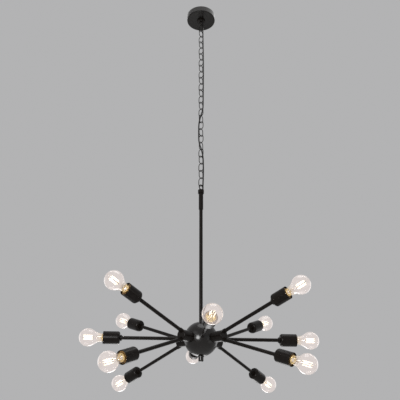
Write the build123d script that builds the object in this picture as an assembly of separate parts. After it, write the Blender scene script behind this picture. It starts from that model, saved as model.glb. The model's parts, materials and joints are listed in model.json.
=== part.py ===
from build123d import *
import os
from math import sin, cos, tan, radians, pi

# Sputnik chandelier: twelve filament bulbs on a ball hub, hung by a stem and chain from a round canopy.
# Millimetres. The origin is the middle of the canopy's rim, in the ceiling plane, and +Z is up.
# -Y is the front. Everything hangs below Z = 0.

# ---- driving dimensions ----
hang_gap = 0.3            # clearance where one piece hangs on or passes another
seat_gap = 0.1            # radial clearance of a tube in its seat

canopy_radius = 62.0
canopy_depth = 26.0
canopy_wall = 1.2
canopy_corner = 3.0

collar_radius = 18.0
collar_height = 6.5
collar_edge = 1.5

bracket_length = 104.0
bracket_width = 22.0
bracket_thickness = 2.0
bracket_slot_spacing = 84.0
bracket_slot_length = 14.0
bracket_slot_radius = 2.3

nipple_radius = 5.0
nipple_bore_radius = 3.5
lock_nut_flats = 14.0
lock_nut_height = 5.0
earth_screw_radius = 2.0
earth_screw_head_radius = 4.0
earth_screw_head_height = 2.4
earth_screw_offset = 22.0

terminal_start = 9.0
terminal_length = 28.0
terminal_width = 22.0
terminal_height = 12.0
terminal_pitch = 9.0
terminal_screw_radius = 2.0
terminal_screw_depth = 3.0

loop_thread_radius = 13.0
loop_rise = 6.0           # of the loop's threaded body above the canopy's plate
loop_wire_radius = 2.0
loop_inner_radius = 8.0
loop_neck_radius = 4.0
loop_neck_height = 2.0

link_wire_radius = 1.5
link_inner_length = 32.3
link_outer_width = 25.0
link_count = 25
link_turn = 45.0          # the links lie in two upright planes, turned this far each way from the XZ plane

cord_radius = 2.75
cord_hole_gap = 0.3
cord_lane = 8.2           # where the cord leaves the canopy loop, from the chain's centre line
cord_end_lane = 7.3       # where it enters the stem

stem_head_radius = 11.5
stem_head_height = 14.0
stem_head_plate = 4.0
stem_head_wall = 1.1
stem_sleeve_radius = 8.5
stem_sleeve_length = 66.0
stem_grip = 30.0          # how far the rod stands in the sleeve
stem_screw_height = 22.0  # of the set screw above the sleeve's foot
set_screw_radius = 2.0
set_screw_stand = 0.8

rod_radius = 6.5
rod_bore_radius = 5.0
stem_length = 481.0       # from the foot of the sleeve to the middle of the ball

ball_radius = 57.5
ball_wall = 2.0
core_radius = 32.0
core_ring_wall = 12.0
core_height = 28.0
core_floor = 5.0

finial_radius = 8.8
finial_flange_radius = 10.5
finial_flange_height = 2.5
finial_height = 17.0
finial_edge = 4.0
finial_stud_length = 14.0

tube_radius = 6.0
tube_wall = 1.0
level_reach = 266.0       # from the stem's axis to the back of a level arm's socket
tilt_angle = 19.0         # of the upper and lower arms from level
tilt_crossing = 60.0      # where an upper arm's line meets the lower one's, from the stem's axis
tilt_reach = 246.0        # from that crossing to the back of the socket
tilt_tube_start = 36.0    # from that crossing to the tube's inner end

coupling_radius = 18.0
coupling_end = 101.0      # outer face of a coupling, from the stem's axis
coupling_cap = 20.0       # solid metal between that face and the coupling's wire bore
coupling_edge = 3.0
coupling_boss_radius = 7.6
coupling_boss_stand = 5.0
coupling_spigot_radius = 5.0

cup_radius = 21.0
cup_length = 56.0
cup_wall = 1.2
cup_shoulder = 7.0
cup_neck_radius = 9.5
cup_neck_length = 6.0
cup_screw_radius = 1.5

holder_radius = 18.6
holder_bevel = 5.6        # of its back edge, inside the cup's shoulder
holder_setback = 4.0      # how far the lamp holder stops short of the cup's mouth
holder_wire_radius = 5.0
holder_wire_depth = 16.0

globe_radius = 30.0
globe_stand = 50.0        # from the cup's mouth to the middle of the globe
globe_cone_angle = 35.0   # slope of the glass from the globe to the neck
glass_wall = 0.8
glass_neck_radius = 13.0
glass_neck_bend = 45.0
cap_start = 1.0           # from the cup's mouth back to the bulb's cap
cap_radius = 12.9
cap_thread = 0.5
cap_turns = 6
cap_length = 21.0
cap_wall = 0.7
cap_floor = 2.0
button_radius = 4.5
button_length = 6.0
filament_count = 6
filament_radius = 1.0
filament_length = 32.0
filament_ring_radius = 7.0
filament_disc_radius = 9.0
filament_disc_height = 1.6
filament_stem_radius = 3.6
lead_radius = 2.3

# ---- places worked out from them ----
link_pitch = link_inner_length - hang_gap
link_mid_radius = link_outer_width / 2 - link_wire_radius
plate_z = -canopy_depth
loop_body_z = plate_z - collar_height - 0.5
loop_drop = loop_neck_height + loop_wire_radius + loop_inner_radius
loop_ring_z = loop_body_z - loop_drop
loop_wire_z = loop_ring_z - loop_inner_radius - loop_wire_radius
first_link_z = loop_ring_z - loop_inner_radius + hang_gap - link_inner_length / 2
last_link_z = first_link_z - link_pitch * (link_count - 1)
stem_ring_z = last_link_z - link_inner_length / 2 + hang_gap - loop_inner_radius
stem_head_z = stem_ring_z - loop_drop
sleeve_top_z = stem_head_z - stem_head_height
sleeve_foot_z = sleeve_top_z - stem_sleeve_length
ball_z = sleeve_foot_z - stem_length
rod_foot_z = ball_z - ball_radius + finial_flange_height
terminal_z = -bracket_thickness - terminal_height
holder_length = cup_length - cup_wall - holder_setback
cap_back = cap_start + cap_length + button_length
holder_bore_radius = cap_radius + cap_thread + hang_gap
seat_in = cup_neck_length + cup_wall          # from a socket's back to where the lamp holder sits
mouth = cup_neck_length + cup_length          # from a socket's back to the cup's mouth
core_bore_start = core_radius - core_ring_wall


def upright(radius, low, high, x=0, y=0):
    return Pos(x, y, (low + high) / 2) * Cylinder(radius, high - low)


def turned(points, rounds=()):
    # a solid turned about Z from its outline of (radius, height) points; rounds are (point number, size)
    face = Plane.XZ * make_face(Polyline([(r, z) for r, z in points], close=True))
    for number, size in rounds:
        r, z = points[number]
        corner = face.vertices().sort_by_distance((r, 0, z))[0]
        face = face.face().fillet_2d(size, [corner])
    return revolve(face, Axis.Z)


def hanging_loop(body_z):
    # the ring under or over a threaded body, lying in the even links' plane
    ring = Rot(0, 0, link_turn) * Rot(90, 0, 0) * Torus(loop_inner_radius + loop_wire_radius, loop_wire_radius)
    return Pos(0, 0, body_z) * ring


# ---- ceiling fixings ----
def make_bracket():
    bar = Pos(0, 0, -bracket_thickness / 2) * Box(bracket_length, bracket_width, bracket_thickness)
    bar = fillet(bar.edges().filter_by(Axis.Z), bracket_width / 4)
    bar -= upright(nipple_radius + seat_gap, -bracket_thickness, 0)
    for side in (-1, 1):
        slot = SlotOverall(bracket_slot_length, 2 * bracket_slot_radius)
        cutter = extrude(Pos(side * bracket_slot_spacing / 2, 0, -bracket_thickness) * slot, bracket_thickness)
        bar -= cutter
    bar -= upright(earth_screw_radius + seat_gap, -bracket_thickness, 0, -earth_screw_offset, 0)
    return bar


def make_bracket_fixings():
    nut = extrude(RegularPolygon(lock_nut_flats / 2, 6, major_radius=False), lock_nut_height)
    nut = Pos(0, 0, -bracket_thickness - lock_nut_height) * nut
    nut -= upright(nipple_radius + seat_gap, -bracket_thickness - lock_nut_height, -bracket_thickness)
    head_top = -bracket_thickness
    head = upright(earth_screw_head_radius, head_top - earth_screw_head_height, head_top, -earth_screw_offset, 0)
    head -= Pos(-earth_screw_offset, 0, head_top - earth_screw_head_height) * Box(
        3 * earth_screw_head_radius, 1, earth_screw_head_height)
    head += upright(earth_screw_radius, head_top, 0, -earth_screw_offset, 0)
    return Compound([nut.solid(), head.solid()])


def make_nipple():
    tube = upright(nipple_radius, loop_body_z + loop_neck_height, 0)
    return tube - upright(nipple_bore_radius, loop_body_z, 0)


def make_canopy_loop():
    body = upright(loop_thread_radius, loop_body_z, plate_z + loop_rise)
    body += upright(loop_neck_radius, loop_body_z - loop_neck_height - loop_wire_radius, loop_body_z)
    body += hanging_loop(loop_ring_z)
    body -= upright(nipple_radius + seat_gap, loop_body_z + loop_neck_height, 0)
    return body - upright(cord_radius + cord_hole_gap, loop_body_z, 0, cord_lane, 0)


def make_terminal_block():
    middle = terminal_start + terminal_length / 2
    block = Pos(middle, 0, terminal_z + terminal_height / 2) * Box(terminal_length, terminal_width, terminal_height)
    block = fillet(block.edges().filter_by(Axis.Z), 1)
    for pole in (-1, 0, 1):
        hole_x = middle + pole * terminal_pitch
        block -= upright(terminal_screw_radius, terminal_z, terminal_z + terminal_screw_depth, hole_x, 0)
    return block


# ---- canopy ----
def make_canopy():
    inner = canopy_radius - canopy_wall
    hole = loop_thread_radius + hang_gap
    outline = [(hole, plate_z), (canopy_radius, plate_z), (canopy_radius, 0), (inner, 0),
               (inner, plate_z + canopy_wall), (hole, plate_z + canopy_wall)]
    return turned(outline, [(4, canopy_corner - canopy_wall), (1, canopy_corner)])


def make_canopy_collar():
    bore = loop_thread_radius + hang_gap
    low = plate_z - collar_height
    outline = [(bore, low), (collar_radius, low), (collar_radius, plate_z), (bore, plate_z)]
    return turned(outline, [(1, collar_edge)])


# ---- chain ----
def link_z(number):
    return first_link_z - link_pitch * (number - 1)


def make_link(number):
    # a long ring of round wire; even links share the loops' plane, odd ones stand square to it
    straight = link_inner_length / 2 + link_wire_radius - link_mid_radius
    bend = Rot(90, 0, 0) * Torus(link_mid_radius, link_wire_radius, major_angle=180, align=None)
    ring = Pos(0, 0, straight) * bend + Pos(0, 0, -straight) * Rot(0, 180, 0) * bend
    for side in (-1, 1):
        ring += upright(link_wire_radius, -straight, straight, side * link_mid_radius, 0)
    turn = link_turn if number % 2 == 0 else link_turn + 90
    return Pos(0, 0, link_z(number)) * Rot(0, 0, turn) * ring


def joint_z(number):
    # between a link and the next one, where their wires cross
    return link_z(number) - link_pitch / 2


# The power cord runs beside the chain, in the corner between the links, and crosses through it twice.
cord_route = [
    (cord_lane, 0, terminal_z),
    (cord_lane, 0, -66),
    (8.9, 0.2, -128),
    (9.8, 0.4, -196),
    (10.3, 0.4, -262),
    (10.1, 0.2, -330),
    (9.4, -0.1, -396),
    (8.8, -0.2, -452),
    (8.5, 0, joint_z(14)),
    (0, -9.1, joint_z(15)),
    (-8.5, 0, joint_z(16)),
    (-9.4, 0.2, -612),
    (-8.5, 0, joint_z(19)),
    (0, -9.1, joint_z(20)),
    (8.5, 0, joint_z(21)),
    (9.4, 0.2, -776),
    (8.8, 0.1, -820),
    (cord_end_lane, 0, -854),
    (cord_end_lane, 0, stem_head_z - stem_head_plate - 6),
]


def cord_radii():
    points = [Vector(*p) for p in cord_route]
    radii = []
    for before, here, after in zip(points, points[1:], points[2:]):
        turn = radians((here - before).get_angle(after - here))
        radii.append(0.45 * min((here - before).length, (after - here).length) / tan(turn / 2))
    return radii


def make_power_cord():
    path = FilletPolyline(*cord_route, radius=cord_radii())
    start = Plane(origin=cord_route[0], z_dir=Vector(*cord_route[1]) - Vector(*cord_route[0]))
    cord = sweep(start * Circle(cord_radius), path=path)
    expected = pi * cord_radius ** 2 * path.length
    print("cord length", round(path.length, 1), "volume ratio", round(cord.volume / expected, 4))
    print("cord radii", [round(r) for r in cord_radii()])
    return cord


# ---- stem ----
def make_stem_loop():
    sleeve_bore = rod_radius + seat_gap
    hollow = stem_head_radius - stem_head_wall
    body = upright(stem_head_radius, sleeve_top_z, stem_head_z)
    body += upright(stem_sleeve_radius, sleeve_foot_z, sleeve_top_z)
    body += upright(loop_neck_radius, stem_head_z, stem_head_z + loop_neck_height + loop_wire_radius)
    body += hanging_loop(stem_ring_z)
    body -= upright(hollow, sleeve_top_z + stem_head_wall, stem_head_z - stem_head_plate)
    body -= upright(sleeve_bore, sleeve_foot_z, sleeve_top_z + stem_head_wall)
    body -= upright(cord_radius + cord_hole_gap, stem_head_z - stem_head_plate, stem_head_z, cord_end_lane, 0)
    screw_z = sleeve_foot_z + stem_screw_height
    hole = Pos(0, -stem_sleeve_radius, screw_z) * Rot(90, 0, 0) * Cylinder(set_screw_radius, stem_sleeve_radius)
    return body - hole


def make_stem_rod():
    top = sleeve_foot_z + stem_grip
    tube = upright(rod_radius, rod_foot_z, top) - upright(rod_bore_radius, rod_foot_z, top)
    window_z = ball_z + core_height
    return tube - Pos(0, 0, window_z) * Rot(90, 0, 0) * Cylinder(rod_bore_radius - 1, 3 * rod_radius)


# ---- hub ----
def spokes(first):
    return [first + 90 * i for i in range(4)]


def radial(radius, near, far, azimuth):
    return Rot(0, 0, azimuth) * Rot(0, 90, 0) * upright(radius, near, far)


def make_hub_ball():
    ball = Sphere(ball_radius) - Sphere(ball_radius - ball_wall)
    for azimuth in spokes(0):
        ball -= radial(tube_radius + seat_gap, core_radius, ball_radius + 1, azimuth)
    for azimuth in spokes(45):
        ball -= radial(coupling_spigot_radius + seat_gap, core_radius, ball_radius + 1, azimuth)
    ball -= upright(rod_radius + seat_gap, -ball_radius - 1, ball_radius + 1)
    return Pos(0, 0, ball_z) * ball


def make_hub_core():
    core = upright(core_radius, -core_height / 2, core_height / 2)
    core -= upright(core_bore_start, core_floor - core_height / 2, core_height / 2)
    core -= upright(rod_radius + seat_gap, -core_height / 2, core_height / 2)
    for azimuth in spokes(0):
        core -= radial(tube_radius + seat_gap, core_bore_start - 2, core_radius + 1, azimuth)
    for azimuth in spokes(45):
        core -= radial(coupling_spigot_radius + seat_gap, core_bore_start - 2, core_radius + 1, azimuth)
    return Pos(0, 0, ball_z) * core


def make_hub_finial():
    top = ball_z - ball_radius
    seat = top + finial_flange_height
    foot = top - finial_height
    outline = [(0, foot), (finial_radius, foot), (finial_radius, top - finial_flange_height),
               (finial_flange_radius, top - finial_flange_height), (finial_flange_radius, top),
               (0, top)]
    body = turned(outline, [(1, finial_edge)])
    stud = upright(rod_bore_radius - seat_gap, top, seat + finial_stud_length)
    return body + stud - Pos(0, 0, ball_z) * Sphere(ball_radius) + stud


def arm_frame(azimuth, tilt):
    # Z runs out along the arm, and X lies level across it
    turn, slope = radians(azimuth), radians(tilt)
    start = tilt_crossing if tilt else 0
    origin = (start * cos(turn), start * sin(turn), ball_z)
    out = (cos(turn) * cos(slope), sin(turn) * cos(slope), sin(slope))
    return Plane(origin=origin, x_dir=(-sin(turn), cos(turn), 0), z_dir=out)


def make_arm_coupling(azimuth):
    drum = turned([(0, tilt_crossing - core_radius), (coupling_radius, tilt_crossing - core_radius),
                   (coupling_radius, coupling_end), (0, coupling_end)], [(2, coupling_edge)])
    body = Pos(0, 0, ball_z) * Rot(0, 0, azimuth) * Rot(0, 90, 0) * drum
    boss_end = (coupling_end - tilt_crossing) / cos(radians(tilt_angle)) + coupling_boss_stand
    for tilt in (tilt_angle, -tilt_angle):
        place = arm_frame(azimuth, tilt).location
        body += place * upright(coupling_boss_radius, tilt_tube_start, boss_end)
    body -= Pos(0, 0, ball_z) * Sphere(ball_radius)
    body += Pos(0, 0, ball_z) * radial(coupling_spigot_radius, core_bore_start, tilt_crossing, azimuth)
    for tilt in (tilt_angle, -tilt_angle):
        place = arm_frame(azimuth, tilt).location
        body -= place * upright(tube_radius + seat_gap, tilt_tube_start, boss_end + 1)
    body -= Pos(0, 0, ball_z) * radial(coupling_spigot_radius - 2, core_bore_start - 1, coupling_end - coupling_cap, azimuth)
    return body


# ---- arms, sockets and bulbs: Z runs out along the arm from the back of the socket ----
def make_tube(start, reach):
    return upright(tube_radius, start - reach, seat_in) - upright(tube_radius - tube_wall, start - reach, seat_in)


def make_lead(start, reach):
    return upright(lead_radius, start - reach + 2, seat_in + holder_wire_depth)


def make_cup():
    bore = tube_radius + seat_gap
    inner = cup_radius - cup_wall
    corner = cup_shoulder - cup_wall
    outline = [(bore, 0), (cup_neck_radius, 0), (cup_neck_radius, cup_neck_length), (cup_radius, cup_neck_length),
               (cup_radius, mouth), (inner, mouth), (inner, seat_in + corner), (inner - corner, seat_in),
               (bore, seat_in)]
    cup = turned(outline, [(3, cup_shoulder)])
    return cup - Pos(0, -cup_neck_radius, cup_neck_length / 2) * Rot(90, 0, 0) * Cylinder(
        cup_screw_radius, cup_neck_radius)


def make_cup_screw():
    length = cup_neck_radius + set_screw_stand - tube_radius
    middle = tube_radius + length / 2
    return Pos(0, -middle, cup_neck_length / 2) * Rot(90, 0, 0) * Cylinder(cup_screw_radius, length)


def make_holder():
    front = seat_in + holder_length
    floor = mouth - cap_back - hang_gap
    outline = [(holder_wire_radius, seat_in), (holder_radius - holder_bevel, seat_in),
               (holder_radius, seat_in + holder_bevel), (holder_radius, front),
               (holder_bore_radius, front), (holder_bore_radius, floor), (0, floor),
               (0, seat_in + holder_wire_depth), (holder_wire_radius, seat_in + holder_wire_depth)]
    return turned(outline)


def glass_form(inset, foot):
    # the globe, a cone that leaves it at a tangent, and the neck; Z = 0 is the globe's middle
    radius = globe_radius - inset
    neck = glass_neck_radius - inset
    slope = radians(globe_cone_angle)
    leave_r, leave_z = radius * cos(slope), -radius * sin(slope)
    meet_z = leave_z - (leave_r - neck) / tan(slope)
    ball = Sphere(radius)
    cone = turned([(0, meet_z), (neck, meet_z), (leave_r, leave_z), (0, leave_z)])
    neck_tube = upright(neck, foot, meet_z)
    bend = glass_neck_bend + inset
    run = bend * tan(slope / 2)
    web = [(neck, meet_z - run), (neck, meet_z), (neck + run * sin(slope), meet_z + run * cos(slope))]
    with BuildSketch(Plane.XZ) as section:
        with BuildLine():
            Polyline(web)
            TangentArc(web[0], web[2], tangent=(0, 1))
        make_face()
    return ball + cone + neck_tube + revolve(section.sketch, Axis.Z)


def make_bulb():
    foot = -globe_stand - cap_start
    glass = glass_form(0, foot) - glass_form(glass_wall, foot - 1)
    cap_foot = foot - cap_length
    profile = [(0, cap_foot - button_length), (button_radius, cap_foot - button_length),
               (button_radius, cap_foot - button_length + 1.5), (cap_radius - 3, cap_foot)]
    step = (cap_length - 3) / cap_turns
    for turn in range(cap_turns):
        low = cap_foot + 0.5 + turn * step
        profile += [(cap_radius, low), (cap_radius + cap_thread, low + step / 2)]
    profile += [(cap_radius, foot - 2), (cap_radius, foot), (cap_radius - cap_wall, foot),
                (cap_radius - cap_wall, cap_foot + cap_floor), (0, cap_foot + cap_floor)]
    cap = turned(profile)
    low, high = -filament_length / 2, filament_length / 2
    mount = upright(cap_radius - cap_wall - seat_gap, foot - 1, foot)
    mount += upright(filament_stem_radius, foot, low)
    mount += upright(filament_disc_radius, low - filament_disc_height, low)
    mount += upright(filament_disc_radius, high, high + filament_disc_height / 2)
    for i in range(filament_count):
        turn = 2 * pi * i / filament_count
        mount += upright(filament_radius, low, high, filament_ring_radius * cos(turn), filament_ring_radius * sin(turn))
    bulb = Compound([glass.solid(), cap.solid(), mount.solid()])
    return Pos(0, 0, mouth + globe_stand) * bulb


# ---- the whole chandelier ----
def all_nodes():
    nodes = {
        "ceiling_bracket": make_bracket(),
        "bracket_fixings": make_bracket_fixings(),
        "hanging_nipple": make_nipple(),
        "terminal_block": make_terminal_block(),
        "canopy_loop": make_canopy_loop(),
        "canopy": make_canopy(),
        "canopy_collar": make_canopy_collar(),
        "chain_upper_link": make_link(1),
        "chain_links": Compound([make_link(i).solid() for i in range(2, link_count - 1)]),
        "chain_turning_link": make_link(link_count - 1),
        "chain_lower_link": make_link(link_count),
        "power_cord": make_power_cord(),
        "stem_loop": make_stem_loop(),
        "stem_rod": make_stem_rod(),
        "hub_ball": make_hub_ball(),
        "hub_core": make_hub_core(),
        "hub_finial": make_hub_finial(),
    }
    for i, azimuth in enumerate(spokes(45)):
        nodes[f"arm_coupling_{i + 1}"] = make_arm_coupling(azimuth)

    level = [("level", azimuth, 0, core_bore_start, level_reach) for azimuth in spokes(-90)]
    upper = [("upper", azimuth, tilt_angle, tilt_tube_start, tilt_reach) for azimuth in spokes(45)]
    lower = [("lower", azimuth, -tilt_angle, tilt_tube_start, tilt_reach) for azimuth in spokes(45)]
    cup, bulb, holder, cup_screw = make_cup(), make_bulb(), make_holder(), make_cup_screw()
    holders, leads, screws = [], [], []
    for tier in (level, upper, lower):
        for i, (name, azimuth, tilt, start, reach) in enumerate(tier):
            place = arm_frame(azimuth, tilt).location * Pos(0, 0, reach)
            nodes[f"arm_tube_{name}_{i + 1}"] = place * make_tube(start, reach)
            nodes[f"socket_cup_{name}_{i + 1}"] = place * cup
            nodes[f"bulb_{name}_{i + 1}"] = place * bulb
            holders.append((place * holder).solid())
            leads.append((place * make_lead(start, reach)).solid())
            screws.append((place * cup_screw).solid())

    length = stem_sleeve_radius + set_screw_stand - rod_radius
    middle = rod_radius + length / 2
    stem_screw = Pos(0, -middle, sleeve_foot_z + stem_screw_height) * Rot(90, 0, 0) * Cylinder(
        set_screw_radius, length)
    nodes["lamp_holders"] = Compound(holders)
    nodes["arm_leads"] = Compound(leads)
    nodes["set_screws"] = Compound(screws + [stem_screw.solid()])
    return nodes


os.makedirs("parts", exist_ok=True)
for node, shape in all_nodes().items():
    export_step(shape, f"parts/{node}.step")
print("ball centre", round(ball_z, 2), "first hinge", round(loop_wire_z, 2))
print("links", round(first_link_z, 2), round(last_link_z, 2), "stem ring", round(stem_ring_z, 2))
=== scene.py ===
import bpy
import json
import math
from mathutils import Matrix, Vector


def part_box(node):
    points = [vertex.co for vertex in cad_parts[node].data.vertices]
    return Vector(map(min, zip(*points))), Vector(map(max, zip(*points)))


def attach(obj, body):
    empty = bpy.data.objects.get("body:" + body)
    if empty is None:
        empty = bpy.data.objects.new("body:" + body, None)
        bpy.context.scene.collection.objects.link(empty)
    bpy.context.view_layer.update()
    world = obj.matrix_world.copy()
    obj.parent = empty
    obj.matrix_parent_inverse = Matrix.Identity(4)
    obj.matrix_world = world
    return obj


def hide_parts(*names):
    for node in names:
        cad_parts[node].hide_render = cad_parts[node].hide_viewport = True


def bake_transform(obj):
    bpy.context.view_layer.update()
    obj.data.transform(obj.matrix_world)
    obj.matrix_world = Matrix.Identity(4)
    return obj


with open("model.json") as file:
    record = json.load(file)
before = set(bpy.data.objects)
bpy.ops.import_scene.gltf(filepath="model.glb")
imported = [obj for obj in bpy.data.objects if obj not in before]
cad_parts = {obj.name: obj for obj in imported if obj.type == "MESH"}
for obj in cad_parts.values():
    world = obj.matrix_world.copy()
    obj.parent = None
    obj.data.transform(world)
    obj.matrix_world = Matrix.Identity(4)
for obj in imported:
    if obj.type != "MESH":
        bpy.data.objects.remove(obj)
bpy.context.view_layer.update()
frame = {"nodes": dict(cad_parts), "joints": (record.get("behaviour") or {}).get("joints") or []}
print("frame loaded:", len(frame["nodes"]), "nodes")


# what every piece made here goes through
def deselect():
    if bpy.context.object and bpy.context.object.mode != "OBJECT":
        bpy.ops.object.mode_set(mode="OBJECT")
    bpy.ops.object.select_all(action="DESELECT")


def makeActive(obj):
    deselect()
    obj.select_set(True)
    bpy.context.view_layer.objects.active = obj


def applyPlace(obj):
    # the place goes into the mesh, so the object sits at the origin as a CAD node does
    makeActive(obj)
    bpy.ops.object.transform_apply(location=True, rotation=True, scale=True)


def applyModifiers(obj):
    makeActive(obj)
    for modifier in list(obj.modifiers):
        bpy.ops.object.modifier_apply(modifier=modifier.name)


def paint(obj, material):
    obj.data.materials.clear()
    obj.data.materials.append(material)


mergeDistance = 1e-6
edgeAngle = 35           # degrees; an edge sharper than this stays crisp


def finishMesh(obj, material, smoothAngle=edgeAngle):
    makeActive(obj)
    bpy.ops.object.mode_set(mode="EDIT")
    bpy.ops.mesh.select_all(action="SELECT")
    bpy.ops.mesh.remove_doubles(threshold=mergeDistance)
    bpy.ops.mesh.normals_make_consistent(inside=False)
    bpy.ops.object.mode_set(mode="OBJECT")
    bpy.ops.object.shade_smooth_by_angle(angle=math.radians(smoothAngle))
    paint(obj, material)


def joined(pieces, name):
    makeActive(pieces[0])
    for piece in pieces[1:]:
        piece.select_set(True)
    bpy.ops.object.join()
    obj = bpy.context.object
    obj.name = name
    return obj


def placedCopy(source, name, matrix):
    # a copy with its own mesh, turned and moved in the mesh
    copy = source.copy()
    copy.data = source.data.copy()
    copy.name = name
    copy.data.name = name
    bpy.context.scene.collection.objects.link(copy)
    copy.data.transform(matrix)
    return copy


def spun(name, profile, steps, material, smoothAngle=edgeAngle):
    # a line of (radius, height) points, extruded point by point and spun about Z
    deselect()
    bpy.ops.mesh.primitive_plane_add(size=1)
    obj = bpy.context.object
    obj.name = name
    bpy.ops.object.mode_set(mode="EDIT")
    bpy.ops.mesh.select_all(action="SELECT")
    bpy.ops.mesh.merge(type="CENTER")
    bpy.ops.transform.translate(value=(profile[0][0], 0, profile[0][1]))
    for (r0, z0), (r1, z1) in zip(profile, profile[1:]):
        bpy.ops.mesh.extrude_region_move(TRANSFORM_OT_translate={"value": (r1 - r0, 0, z1 - z0)})
    bpy.ops.mesh.select_all(action="SELECT")
    bpy.ops.mesh.spin(steps=steps, angle=2 * math.pi, center=(0, 0, 0), axis=(0, 0, 1))
    bpy.ops.object.mode_set(mode="OBJECT")
    finishMesh(obj, material, smoothAngle)
    return obj


def arcPoints(centre, radius, start, end, steps):
    # (radius, height) points along an arc, angles in degrees
    found = []
    for i in range(steps + 1):
        turn = math.radians(start + (end - start) * i / steps)
        found.append((centre[0] + radius * math.cos(turn), centre[1] + radius * math.sin(turn)))
    return found


rodRounding = 0.4        # of its radius
rodRoundingSteps = 2


def rod(start, end, radius, sides, material):
    # a round bar between two points, its end edges rounded
    start, end = Vector(start), Vector(end)
    deselect()
    bpy.ops.mesh.primitive_cylinder_add(vertices=sides, radius=radius, depth=(end - start).length)
    obj = bpy.context.object
    obj.location = (start + end) / 2
    obj.rotation_euler = (end - start).to_track_quat("Z", "Y").to_euler()
    applyPlace(obj)
    rounding = obj.modifiers.new("rounding", "BEVEL")
    rounding.width = radius * rodRounding
    rounding.segments = rodRoundingSteps
    rounding.limit_method = "ANGLE"
    applyModifiers(obj)
    finishMesh(obj, material)
    return obj


# finishes
def startMaterial(name):
    material = bpy.data.materials.new(name)
    material.use_nodes = True
    tree = material.node_tree
    shader = tree.nodes["Principled BSDF"]
    coords = tree.nodes.new("ShaderNodeTexCoord")
    return material, tree, shader, coords


def noise(tree, coords, scale, detail):
    node = tree.nodes.new("ShaderNodeTexNoise")
    node.inputs["Scale"].default_value = scale
    node.inputs["Detail"].default_value = detail
    tree.links.new(coords.outputs["Object"], node.inputs["Vector"])
    return node


mottleLow = 0.35         # where a cloud is all dark, and where it is all light
mottleHigh = 0.65


def blended(tree, factor, colourA, colourB, low=mottleLow, high=mottleHigh):
    ramp = tree.nodes.new("ShaderNodeValToRGB")
    ramp.color_ramp.elements[0].position = low
    ramp.color_ramp.elements[0].color = (*colourA, 1)
    ramp.color_ramp.elements[1].position = high
    ramp.color_ramp.elements[1].color = (*colourB, 1)
    tree.links.new(factor, ramp.inputs["Fac"])
    return ramp.outputs["Color"]


def ranged(tree, factor, low, high):
    node = tree.nodes.new("ShaderNodeMapRange")
    node.inputs["To Min"].default_value = low
    node.inputs["To Max"].default_value = high
    tree.links.new(factor, node.inputs["Value"])
    return node.outputs["Result"]


def addBump(tree, shader, height, strength, distance):
    bump = tree.nodes.new("ShaderNodeBump")
    bump.inputs["Strength"].default_value = strength
    bump.inputs["Distance"].default_value = distance
    tree.links.new(height, bump.inputs["Height"])
    tree.links.new(bump.outputs["Normal"], shader.inputs["Normal"])


finishValues = {
    "cloudScale": 110,
    "cloudDetail": 4,
    "grainDetail": 2,
    "powderCoat": {"dark": (0.0066, 0.0048, 0.0038), "light": (0.0106, 0.0082, 0.0068), "rough": (0.22, 0.28),
                   "grain": 1400, "grainDepth": 0.00005, "strength": 0.10, "specular": 0.17},
    "canopyCoat": {"dark": (0.0062, 0.0050, 0.0042), "light": (0.0096, 0.0080, 0.0070), "rough": (0.26, 0.32),
                   "grain": 1400, "grainDepth": 0.00005, "strength": 0.10, "specular": 0.28},
    "glossEnamel": {"dark": (0.0058, 0.0044, 0.0036), "light": (0.0078, 0.0063, 0.0054),
                    "rough": (0.20, 0.23), "grain": 500, "grainDepth": 0.00003, "strength": 0.05,
                    "specular": 0.5},
    "chainBlack": {"dark": (0.0085, 0.0070, 0.0058), "light": (0.0190, 0.0165, 0.0145), "rough": (0.26, 0.40),
                   "grain": 900, "grainDepth": 0.00005, "strength": 0.2, "specular": 0.22},
}


def blackFinish(name):
    v = finishValues[name]
    material, tree, shader, coords = startMaterial(name)
    cloud = noise(tree, coords, finishValues["cloudScale"], finishValues["cloudDetail"])
    grain = noise(tree, coords, v["grain"], finishValues["grainDetail"])
    tree.links.new(blended(tree, cloud.outputs["Fac"], v["dark"], v["light"]), shader.inputs["Base Color"])
    tree.links.new(ranged(tree, cloud.outputs["Fac"], *v["rough"]), shader.inputs["Roughness"])
    addBump(tree, shader, grain.outputs["Fac"], v["strength"], v["grainDepth"])
    shader.inputs["Specular IOR Level"].default_value = v["specular"]
    return material


metalValues = {
    "cloud": 220,
    "cloudDetail": 4,
    "mottle": (0.3, 0.7),           # where the cloud is all dark and all light
    "bump": (0.15, 0.0001),         # strength and depth
    "zincPlate": {"dark": (0.48, 0.48, 0.46), "light": (0.66, 0.65, 0.60), "rough": (0.25, 0.4)},
    "nickel": {"dark": (0.52, 0.50, 0.46), "light": (0.70, 0.68, 0.62), "rough": (0.18, 0.3)},
    "capBrass": {"dark": (0.62, 0.45, 0.20), "light": (0.80, 0.62, 0.32), "rough": (0.2, 0.34)},
}


def metalFinish(name):
    v = metalValues[name]
    material, tree, shader, coords = startMaterial(name)
    cloud = noise(tree, coords, metalValues["cloud"], metalValues["cloudDetail"])
    colour = blended(tree, cloud.outputs["Fac"], v["dark"], v["light"], *metalValues["mottle"])
    tree.links.new(colour, shader.inputs["Base Color"])
    tree.links.new(ranged(tree, cloud.outputs["Fac"], *v["rough"]), shader.inputs["Roughness"])
    shader.inputs["Metallic"].default_value = 1.0
    addBump(tree, shader, cloud.outputs["Fac"], *metalValues["bump"])
    return material


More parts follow.
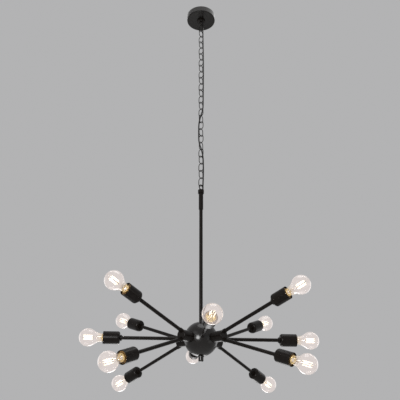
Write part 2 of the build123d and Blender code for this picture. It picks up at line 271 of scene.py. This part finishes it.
mouldedValues = {
    "cloud": 160,
    "cloudDetail": 3,
    "grain": 2500,
    "grainDetail": 2,
    "bump": (0.2, 0.00008),
    "terminalPlastic": {"dark": (0.70, 0.69, 0.65), "light": (0.78, 0.77, 0.73), "rough": (0.4, 0.5)},
    "phenolic": {"dark": (0.13, 0.072, 0.020), "light": (0.20, 0.115, 0.036), "rough": (0.3, 0.45)},
    "neckPaste": {"dark": (0.035, 0.016, 0.006), "light": (0.060, 0.030, 0.011), "rough": (0.5, 0.6)},
    "insulator": {"dark": (0.010, 0.010, 0.014), "light": (0.02, 0.02, 0.024), "rough": (0.1, 0.2)},
    "leadSleeving": {"dark": (0.62, 0.58, 0.46), "light": (0.72, 0.68, 0.55), "rough": (0.35, 0.45)},
}


def mouldedFinish(name):
    v = mouldedValues[name]
    material, tree, shader, coords = startMaterial(name)
    cloud = noise(tree, coords, mouldedValues["cloud"], mouldedValues["cloudDetail"])
    grain = noise(tree, coords, mouldedValues["grain"], mouldedValues["grainDetail"])
    tree.links.new(blended(tree, cloud.outputs["Fac"], v["dark"], v["light"]), shader.inputs["Base Color"])
    tree.links.new(ranged(tree, cloud.outputs["Fac"], *v["rough"]), shader.inputs["Roughness"])
    addBump(tree, shader, grain.outputs["Fac"], *mouldedValues["bump"])
    return material


glassValues = {
    "tint": (0.965, 0.935, 0.915),
    "veil": (0.98, 0.86, 0.83),      # painted glow of the lit globe, a faint rose emitted at each face of the glass
    "neckGlow": (1.0, 0.74, 0.42),   # painted warmer glow at the neck
    "veilStrength": 0.075,
    "neckStrength": 0.07,
    "glowRange": (0.05, 0.95),       # share of the way into the neck where the colour turns
    "index": 1.45,
}


def clearGlass(name, lit):
    material, tree, shader, coords = startMaterial(name)
    shader.inputs["Base Color"].default_value = (*glassValues["tint"], 1)
    shader.inputs["Roughness"].default_value = 0.0
    shader.inputs["IOR"].default_value = glassValues["index"]
    shader.inputs["Transmission Weight"].default_value = 1.0
    # the glass emits a painted glow of the lit bulb, faint rose in the globe and warmer towards the neck
    if lit:
        glow = tree.nodes.new("ShaderNodeAttribute")
        glow.attribute_name = "neckward"
        colour = blended(tree, glow.outputs["Fac"], glassValues["veil"], glassValues["neckGlow"],
                         *glassValues["glowRange"])
        tree.links.new(colour, shader.inputs["Emission Color"])
        strength = ranged(tree, glow.outputs["Fac"], glassValues["veilStrength"], glassValues["neckStrength"])
        tree.links.new(strength, shader.inputs["Emission Strength"])
    return material


litValues = {
    "rough": 0.5,
    "coatCloud": 260,
    "coatDetail": 3,
    "coatShade": (1.0, 0.86, 0.62),
    "coatLight": (1.0, 0.93, 0.76),
    "coatGlow": 1.9,
    "neckSpots": 210,                # scale of the darker mottling
    "neckShade": (0.42, 0.29, 0.09),
    "neckLight": (0.84, 0.68, 0.34),
    "neckMottle": (0.10, 0.42),      # distance from a spot's middle where it is darkest, and where it ends
    # strength of the painted glow on the neck's floor
    "neckGlow": 0.30,
}


# makes a surface emit its own colour: the sticks' real light, and a painted glow on the neck's floor
def lightUp(tree, shader, colour, strength):
    tree.links.new(colour, shader.inputs["Base Color"])
    tree.links.new(colour, shader.inputs["Emission Color"])
    shader.inputs["Emission Strength"].default_value = strength
    shader.inputs["Roughness"].default_value = litValues["rough"]


def ledCoating():
    material, tree, shader, coords = startMaterial("ledCoat")
    cloud = noise(tree, coords, litValues["coatCloud"], litValues["coatDetail"])
    colour = blended(tree, cloud.outputs["Fac"], litValues["coatShade"], litValues["coatLight"])
    lightUp(tree, shader, colour, litValues["coatGlow"])
    return material


def litTan():
    # the floor of the neck: pale tan with faint darker mottling, emitting a painted glow of the sticks' light
    # though it is no lamp
    material, tree, shader, coords = startMaterial("neckTan")
    spots = tree.nodes.new("ShaderNodeTexVoronoi")
    spots.inputs["Scale"].default_value = litValues["neckSpots"]
    tree.links.new(coords.outputs["Object"], spots.inputs["Vector"])
    colour = blended(tree, spots.outputs["Distance"], litValues["neckShade"], litValues["neckLight"],
                     *litValues["neckMottle"])
    lightUp(tree, shader, colour, litValues["neckGlow"])
    return material


sheathValues = {
    "cloud": 300,
    "cloudDetail": 3,
    "dark": (0.011, 0.011, 0.011),
    "light": (0.019, 0.018, 0.018),
    "rough": (0.42, 0.55),
    "bump": (0.2, 0.0001),
}


def cordSheath():
    v = sheathValues
    material, tree, shader, coords = startMaterial("cordSheath")
    cloud = noise(tree, coords, v["cloud"], v["cloudDetail"])
    tree.links.new(blended(tree, cloud.outputs["Fac"], v["dark"], v["light"]), shader.inputs["Base Color"])
    tree.links.new(ranged(tree, cloud.outputs["Fac"], *v["rough"]), shader.inputs["Roughness"])
    addBump(tree, shader, cloud.outputs["Fac"], *v["bump"])
    return material


powderCoat = blackFinish("powderCoat")
canopyCoat = blackFinish("canopyCoat")
glossEnamel = blackFinish("glossEnamel")
chainBlack = blackFinish("chainBlack")
zincPlate = metalFinish("zincPlate")
nickel = metalFinish("nickel")
capBrass = metalFinish("capBrass")
terminalPlastic = mouldedFinish("terminalPlastic")
phenolic = mouldedFinish("phenolic")
neckPaste = mouldedFinish("neckPaste")
insulator = mouldedFinish("insulator")
leadSleeving = mouldedFinish("leadSleeving")
globeGlass = clearGlass("globeGlass", True)
stemGlass = clearGlass("stemGlass", False)
ledCoat = ledCoating()
neckTan = litTan()
sheath = cordSheath()
print("finishes made:", len(bpy.data.materials))

finishOf = {
    "ceiling_bracket": zincPlate, "bracket_fixings": zincPlate, "hanging_nipple": zincPlate,
    "hub_core": zincPlate, "terminal_block": terminalPlastic, "lamp_holders": phenolic,
    "arm_leads": leadSleeving, "hub_ball": glossEnamel, "hub_finial": glossEnamel,
    "chain_upper_link": chainBlack, "chain_links": chainBlack, "chain_turning_link": chainBlack,
    "chain_lower_link": chainBlack, "canopy_loop": chainBlack, "canopy": canopyCoat,
}
for nodeName, cadNode in frame["nodes"].items():
    paint(cadNode, finishOf.get(nodeName, powderCoat))
print("CAD nodes painted")


# the bulbs, modelled once about the globe's middle with the cap towards -Z
bulb = {
    "globeRadius": 0.030,
    "coneAngle": 35.0,       # below the globe's equator, where the neck leaves it
    "bend": 0.045,           # radius of the hollow curve from there to the straight neck
    "neckRadius": 0.013,
    "wall": 0.0005,
    "foot": -0.051,          # where the glass meets the cap, from the globe's middle
    "glowStart": -0.022,     # where the neck's painted glow starts, and how far down it takes to be full
    "glowRun": 0.024,
    "neckSteps": 7,
    "globeSteps": 16,
    "spinSteps": 48,
    "smoothAngle": 60,
}


def glassLine(inset):
    # from the neck's foot to the globe's top
    angle = bulb["coneAngle"]
    slope = math.radians(angle)
    radius = bulb["globeRadius"] - inset
    neck = bulb["neckRadius"] - inset
    bend = bulb["bend"] + inset
    leaveR, leaveZ = radius * math.cos(slope), -radius * math.sin(slope)
    meetZ = leaveZ - (leaveR - neck) / math.tan(slope)
    bendZ = meetZ - bend * math.tan(slope / 2)
    line = [(neck, bulb["foot"])]
    line += arcPoints((neck + bend, bendZ), bend, 180, 180 - angle, bulb["neckSteps"])
    line += arcPoints((0, 0), radius, -angle, 90, bulb["globeSteps"])
    return line


def makeGlobe():
    outer = glassLine(0)
    inner = glassLine(bulb["wall"])
    line = outer + list(reversed(inner)) + [outer[0]]
    globe = spun("globe", line, bulb["spinSteps"], globeGlass, bulb["smoothAngle"])
    # a share for each point, 0 in the globe and 1 at the foot of the neck, eased at both ends; it turns the
    # painted glow warmer towards the neck
    glow = globe.data.attributes.new("neckward", "FLOAT", "POINT")
    for i, vertex in enumerate(globe.data.vertices):
        share = min(1, max(0, (bulb["glowStart"] - vertex.co.z) / bulb["glowRun"]))
        glow.data[i].value = share * share * (3 - 2 * share)
    return globe


capSizes = {
    "radius": 0.0129,
    "length": 0.021,
    "wall": 0.0007,
    "floor": 0.0020,
    "hole": 0.0045,          # in the floor, for the insulator round the contact
    "chamfer": 0.0030,
    "plainTop": 0.0020,
    "turns": 6,
    "threadRoot": 0.0002,    # how far the thread's arcs are drawn in
    "threadWidth": 0.34,     # of one turn
    "threadAngle": 60,       # degrees that an arc runs up and down
    "threadSteps": 4,
    "insulatorRadius": 0.0085,
    "insulatorDepth": 0.0026,
    "insulatorRim": 0.0004,  # how far its widest edge stands below the shell
    "insulatorGap": 0.0001,  # round it in the shell's hole
    "insulatorStep": 0.0002,     # height of the corner where it enters the hole
    "insulatorSides": 32,
    "contactRadius": 0.0036,
    "contactLength": 0.0060,
    "contactEdge": 0.0012,
    "contactSides": 24,
}


def makeCap():
    v = capSizes
    foot, radius, hole, inside = bulb["foot"], v["radius"], v["hole"], v["radius"] - v["wall"]
    low = foot - v["length"]
    step = (v["length"] - v["chamfer"]) / v["turns"]
    line = [(hole, low + v["wall"]), (radius - v["chamfer"], low)]
    for i in range(v["turns"]):
        middle = (radius - v["threadRoot"], low + v["wall"] + (i + 0.5) * step)
        line += arcPoints(middle, step * v["threadWidth"], -v["threadAngle"], v["threadAngle"],
                          v["threadSteps"])
    line += [(radius, foot - v["plainTop"]), (radius, foot), (inside, foot), (inside, low + v["floor"]),
             (hole, low + v["floor"]), (hole, low + v["wall"])]
    shell = spun("capShell", line, bulb["spinSteps"], capBrass)
    bore, lip, depth = v["contactRadius"], hole - v["insulatorGap"], low - v["insulatorDepth"]
    ringLine = [(bore, low + v["floor"]), (bore, depth), (bore + v["contactEdge"], depth),
                (v["insulatorRadius"], low - v["insulatorRim"]), (lip, low + v["insulatorStep"]),
                (lip, low + v["floor"])]
    ring = spun("capRing", ringLine + [ringLine[0]], v["insulatorSides"], insulator)
    tip, edge = low - v["contactLength"], v["contactEdge"]
    contactLine = [(0, low), (bore, low), (bore, tip + 2 * edge), (bore - edge / 3, tip + edge),
                   (bore / 2, tip + edge / 4), (0, tip)]
    contact = spun("capContact", contactLine, v["contactSides"], nickel)
    return joined([shell, ring, contact], "cap")


filamentSizes = {
    "count": 6,
    "ring": 0.007,           # radius that the sticks stand on
    "radius": 0.0009,
    "half": 0.0145,          # of a stick's length
    "sides": 10,
}


def filamentFeet():
    # where the sticks stand about the bulb's axis
    count, ring = filamentSizes["count"], filamentSizes["ring"]
    turns = [2 * math.pi * i / count for i in range(count)]
    return [(ring * math.cos(turn), ring * math.sin(turn)) for turn in turns]


def makeFilaments():
    v = filamentSizes
    half = v["half"]
    sticks = [rod((x, y, -half), (x, y, half), v["radius"], v["sides"], ledCoat) for x, y in filamentFeet()]
    return joined(sticks, "filaments")


mountSizes = {
    "stemRadius": 0.0033,
    "stemSides": 32,
    "stemSmoothAngle": 50,
    "footRadius": 0.0072,
    "footStand": 0.0022,     # heights above the foot of the glass
    "waist": 0.005,
    "shoulder": 0.010,
    "barrel": 0.020,
    "footCorner": 0.0002,    # how far the foot's lower edge is drawn in, and how high that runs
    "footEdge": 0.0008,
    "waistDraw": 0.0020,     # how much narrower the waist is than the foot
    "shoulderDraw": 0.0010,  # how much wider the shoulder is than the stem
    "pinchRadius": 0.0042,   # of the stem's closed top
    "pinchCorner": 0.0005,
    "pinchGap": 0.0020,      # from there to the sticks
    "pinchStart": 3,         # how far under the sticks, in pinch gaps
    "pinchFull": 2,
    "pinchRound": 1.25,
    "postRadius": 0.0004,
    "postSides": 8,
    "postLow": 1.5,          # how far the middle post runs past the sticks, in pinch gaps
    "postHigh": 1.6,
    "wireRadius": 0.00025,
    "wireSides": 6,
    "lowStart": 0.9,         # how far past the sticks a wire starts and ends, in pinch gaps
    "lowEnd": 1.8,
    "highPin": 0.9,          # length of an upper pin; a lower one is one gap long
    "highStart": 0.8,
    "highEnd": 1.5,
    "lowSpread": 0.3,        # how far from the axis a wire ends, as a share of the ring
    "highSpread": 0.1,
}


def makeMount():
    # the glass stem, and the wires that hold the sticks
    v = mountSizes
    foot, r, half, gap = bulb["foot"], v["stemRadius"], filamentSizes["half"], v["pinchGap"]
    low, wide, pinch = foot + v["footStand"], v["footRadius"], v["pinchRadius"]
    stemLine = [(0, low), (wide - v["footCorner"], low), (wide, low + v["footEdge"]),
                (wide - v["waistDraw"], foot + v["waist"]), (r + v["shoulderDraw"], foot + v["shoulder"]),
                (r, foot + v["barrel"]), (r, -half - v["pinchStart"] * gap),
                (pinch, -half - v["pinchFull"] * gap),
                (pinch - v["pinchCorner"], -half - v["pinchRound"] * gap), (0, -half - gap)]
    stem = spun("stem", stemLine, v["stemSides"], stemGlass, v["stemSmoothAngle"])
    post, thin, sides = v["postRadius"], v["wireRadius"], v["wireSides"]
    postFoot, postHead = -half - v["postLow"] * gap, half + v["postHigh"] * gap
    wires = [rod((0, 0, postFoot), (0, 0, postHead), post, v["postSides"], nickel)]
    for x, y in filamentFeet():
        # a thick pin on each end of a stick, and a thin wire from the pin in to the middle
        lowStart, lowEnd = -half - v["lowStart"] * gap, -half - v["lowEnd"] * gap
        highStart, highEnd = half + v["highStart"] * gap, half + v["highEnd"] * gap
        inLow, inHigh = (x * v["lowSpread"], y * v["lowSpread"]), (x * v["highSpread"], y * v["highSpread"])
        wires.append(rod((x, y, -half), (x, y, -half - gap), post, sides, nickel))
        wires.append(rod((x, y, lowStart), (*inLow, lowEnd), thin, sides, nickel))
        wires.append(rod((x, y, half), (x, y, half + v["highPin"] * gap), post, sides, nickel))
        wires.append(rod((x, y, highStart), (*inHigh, highEnd), thin, sides, nickel))
    return stem, joined(wires, "wires")


neckSizes = {
    "floorStart": 0.0010,    # heights above the foot of the glass
    "floorTop": 0.0018,
    "skirtTop": 0.0040,
    "skirtGap": 0.0003,      # between the skirt and the glass
    "skirtWall": 0.0005,
    "corner": 0.0012,
    "dabs": [(48, 0.0017), (128, 0.0021), (232, 0.0019), (305, 0.0015)],     # turn about the axis, size
    "dabThick": 0.55,
    "dabReach": 0.0016,      # from the glass to the middle of a dab
    "dabSegments": 14,
    "dabRings": 8,
}


def makeNeckBase():
    # the lit floor and skirt inside the neck, with four dabs of dark paste on the skirt
    v = neckSizes
    foot, inside = bulb["foot"], bulb["neckRadius"] - bulb["wall"]
    outer, corner = inside - v["skirtGap"], v["corner"]
    low, floorTop, skirtTop = foot + v["floorStart"], foot + v["floorTop"], foot + v["skirtTop"]
    line = [(0, low), (outer - corner, low), (outer, low + corner / 2), (outer, skirtTop),
            (outer - v["skirtWall"], skirtTop), (outer - v["skirtWall"], floorTop + corner / 2),
            (outer - corner - v["skirtWall"], floorTop), (0, floorTop)]
    pieces = [spun("neckFloor", line, bulb["spinSteps"], neckTan)]
    for angle, size in v["dabs"]:
        turn = math.radians(angle)
        reach = inside - v["dabReach"]
        deselect()
        bpy.ops.mesh.primitive_uv_sphere_add(segments=v["dabSegments"], ring_count=v["dabRings"], radius=size)
        dab = bpy.context.object
        dab.scale = (v["dabThick"], 1.0, 1.0)
        dab.rotation_euler = (0, 0, turn)
        dab.location = (reach * math.cos(turn), reach * math.sin(turn), skirtTop)
        applyPlace(dab)
        finishMesh(dab, neckPaste, bulb["smoothAngle"])
        pieces.append(dab)
    return joined(pieces, "neckBase")


def bulbPlace(nodeName, axis):
    # the globe reaches furthest out, so the node's box gives its middle
    low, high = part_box(nodeName)
    small = 1e-6
    middle = []
    for i in range(3):
        if axis[i] > small:
            middle.append(high[i] - bulb["globeRadius"])
        elif axis[i] < -small:
            middle.append(low[i] + bulb["globeRadius"])
        else:
            middle.append((low[i] + high[i]) / 2)
    out = Vector(axis).normalized()
    across = Vector((-out.y, out.x, 0)).normalized()
    up = out.cross(across)
    turn = Matrix((across, up, out)).transposed().to_4x4()
    return Matrix.Translation(middle) @ turn


globe = makeGlobe()
cap = makeCap()
filaments = makeFilaments()
stem, wires = makeMount()
neckBase = makeNeckBase()
templates = {"Globe": globe, "Cap": cap, "Filaments": filaments, "Stem": stem, "Wires": wires,
             "NeckBase": neckBase}
for joint in frame["joints"]:
    bodyName = joint["child"]
    if not bodyName.startswith("bulb_"):
        continue
    place = bulbPlace(bodyName, joint["axis"])
    for label, template in templates.items():
        piece = placedCopy(template, bodyName + label, place)
        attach(piece, bodyName)
        if label == "Globe":
            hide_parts(bodyName)
for template in templates.values():
    bpy.data.objects.remove(template)
print("bulbs made")


# the power cord, one stretch for each joint that it crosses
cord = {
    "radius": 0.00275,
    "route": [(0.0082, 0, -0.014), (0.0082, 0, -0.066), (0.0089, 0.0002, -0.128),
              (0.0098, 0.0004, -0.196), (0.0103, 0.0004, -0.262), (0.0101, 0.0002, -0.330),
              (0.0094, -0.0001, -0.396), (0.0088, -0.0002, -0.452), (0.0085, 0, -0.50085),
              (0, -0.0091, -0.53285), (-0.0085, 0, -0.56485), (-0.0094, 0.0002, -0.612),
              (-0.0085, 0, -0.66085), (0, -0.0091, -0.69285), (0.0085, 0, -0.72485),
              (0.0094, 0.0002, -0.776), (0.0088, 0.0001, -0.820), (0.0073, 0, -0.854),
              (0.0073, 0, -0.8827)],
    "sides": 16,
    "order": 3,
    "steps": 14,
    "smoothAngle": 60,
    # name, where it ends, the bodies that it joins, and where it starts and ends turning with the second
    "stretches": [("cordTop", -0.071, "ceiling_mount", "upper_link", -0.050, -0.069),
                  ("cordMain", -0.772, "upper_link", "chain", -0.074, -0.100),
                  ("cordTurn", -0.806, "chain", "turning_link", -0.775, -0.803),
                  ("cordLow", -0.840, "turning_link", "lower_link", -0.808, -0.837),
                  ("cordEnd", -0.890, "lower_link", "fixture", -0.842, -0.868)],
}


def cordLine():
    data = bpy.data.curves.new("cordLine", "CURVE")
    data.dimensions = "3D"
    spline = data.splines.new("NURBS")
    spline.points.add(len(cord["route"]) - 1)
    for point, place in zip(spline.points, cord["route"]):
        point.co = (*place, 1)
    spline.order_u = cord["order"]
    spline.use_endpoint_u = True
    spline.resolution_u = cord["steps"]
    line = bpy.data.objects.new("cordLine", data)
    bpy.context.scene.collection.objects.link(line)
    bpy.context.view_layer.update()
    mesh = bpy.data.meshes.new_from_object(line.evaluated_get(bpy.context.evaluated_depsgraph_get()))
    points = [v.co.copy() for v in mesh.vertices]
    bpy.data.objects.remove(line)
    bpy.data.meshes.remove(mesh)
    return points


def ringAround(points, i, side):
    # a ring of the tube stands square to the line there, its first corner always towards +X
    along = (points[min(i + 1, len(points) - 1)] - points[max(i - 1, 0)]).normalized()
    across = (Vector((1, 0, 0)) - along * along.x).normalized()
    other = along.cross(across)
    turn = 2 * math.pi * side / cord["sides"]
    return points[i] + (across * math.cos(turn) + other * math.sin(turn)) * cord["radius"]


def makeStretch(name, points, first, last):
    sides = cord["sides"]
    corners = [ringAround(points, i, s) for i in range(first, last + 1) for s in range(sides)]
    faces = []
    for i in range(last - first):
        for s in range(sides):
            a, b = i * sides + s, i * sides + (s + 1) % sides
            faces.append((a, b, b + sides, a + sides))
    faces.append(tuple(range(sides)))
    faces.append(tuple(range((last - first) * sides, (last - first + 1) * sides)))
    mesh = bpy.data.meshes.new(name)
    mesh.from_pydata(corners, [], faces)
    obj = bpy.data.objects.new(name, mesh)
    bpy.context.scene.collection.objects.link(obj)
    finishMesh(obj, sheath, cord["smoothAngle"])
    return obj


linePoints = cordLine()
first = 0
for name, endZ, bodyA, bodyB, startTurn, endTurn in cord["stretches"]:
    last = min(range(len(linePoints)), key=lambda i: abs(linePoints[i].z - endZ))
    stretch = makeStretch(name, linePoints, first, last)
    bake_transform(stretch)
    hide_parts("power_cord")
    first = last
print("cord made")


# stage, light and camera
stageValues = {
    "floorHeight": -4.6,
    "floorSize": 240,
    "floorColour": (0.90, 0.90, 0.89),
    "floorRough": 0.8,
    "backdrop": (0.45, 0.45, 0.455),
    # name, place, where it points, size, watts, spread in degrees
    "lamps": [("front", (-0.84, -1.85, -1.40), (0, 0, -1.43), 0.80, 22, 180),
              ("key", (-1.9, -1.6, -0.3), (0, 0, -1.30), 1.8, 4, 180),
              ("fill", (2.1, -1.3, -1.7), (0, 0, -1.30), 1.8, 3, 180),
              ("rimLeft", (-1.7, 1.5, -1.2), (0, 0, -1.40), 1.5, 3.2, 180),
              ("rimRight", (1.7, 1.5, -1.2), (0, 0, -1.40), 1.5, 3.2, 180),
              ("rimLow", (0.0, 1.6, -2.25), (0, 0, -1.40), 1.0, 0.8, 60),
              ("overhead", (0.22, -0.10, 0.45), (0.22, -0.10, -1.0), 1.4, 8, 180)],
}


def makeFloor():
    deselect()
    place = (0, 0, stageValues["floorHeight"])
    bpy.ops.mesh.primitive_plane_add(size=stageValues["floorSize"], location=place)
    floor = bpy.context.object
    floor.name = "floor"
    applyPlace(floor)
    material, tree, shader, coords = startMaterial("floorPaint")
    shader.inputs["Base Color"].default_value = (*stageValues["floorColour"], 1)
    shader.inputs["Roughness"].default_value = stageValues["floorRough"]
    paint(floor, material)


def makeLamps():
    for name, place, aim, size, watts, spread in stageValues["lamps"]:
        data = bpy.data.lights.new(name, "AREA")
        data.shape = "DISK"
        data.size = size
        data.energy = watts
        data.spread = math.radians(spread)
        lamp = bpy.data.objects.new(name, data)
        bpy.context.scene.collection.objects.link(lamp)
        lamp.visible_camera = False
        lamp.location = place
        lamp.rotation_euler = (Vector(aim) - Vector(place)).to_track_quat("-Z", "Y").to_euler()


def makeWorld():
    world = bpy.data.worlds.new("studio")
    bpy.context.scene.world = world
    world.use_nodes = True
    background = world.node_tree.nodes["Background"]
    background.inputs["Color"].default_value = (*stageValues["backdrop"], 1)
    background.inputs["Strength"].default_value = 1.0


cameraValues = {
    "pictureWidth": 400,       # pixels
    "sensorWidth": 36,
    "focalPixels": 529.85,
    "pitch": 24.63,
    "heading": -4.85,
    "distance": 1.82555,       # level, from the hanging axis
    "below": 0.329,            # under the middle of the ball
    "side": 0.00108,
    "middle": (201.26, 202.85),    # where it looks, in pixels of the picture
}


def makeCamera():
    v = cameraValues
    width = v["pictureWidth"]
    ballLow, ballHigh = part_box("hub_ball")
    turn = math.radians(v["heading"])
    back = Matrix.Rotation(turn, 3, "Z") @ Vector((v["side"], -v["distance"], 0))
    data = bpy.data.cameras.new("camera")
    data.sensor_width = v["sensorWidth"]
    data.lens = v["focalPixels"] / width * data.sensor_width
    data.shift_x = (width / 2 - v["middle"][0]) / width
    data.shift_y = (v["middle"][1] - width / 2) / width
    data.dof.use_dof = False
    camera = bpy.data.objects.new("camera", data)
    bpy.context.scene.collection.objects.link(camera)
    camera.location = (back.x, back.y, (ballLow.z + ballHigh.z) / 2 - v["below"])
    camera.rotation_euler = (math.radians(90 + v["pitch"]), 0, turn)
    bpy.context.scene.camera = camera


makeFloor()
makeLamps()
makeWorld()
makeCamera()
bpy.context.scene.view_settings.view_transform = "Standard"
print("stage, lamps and camera made")
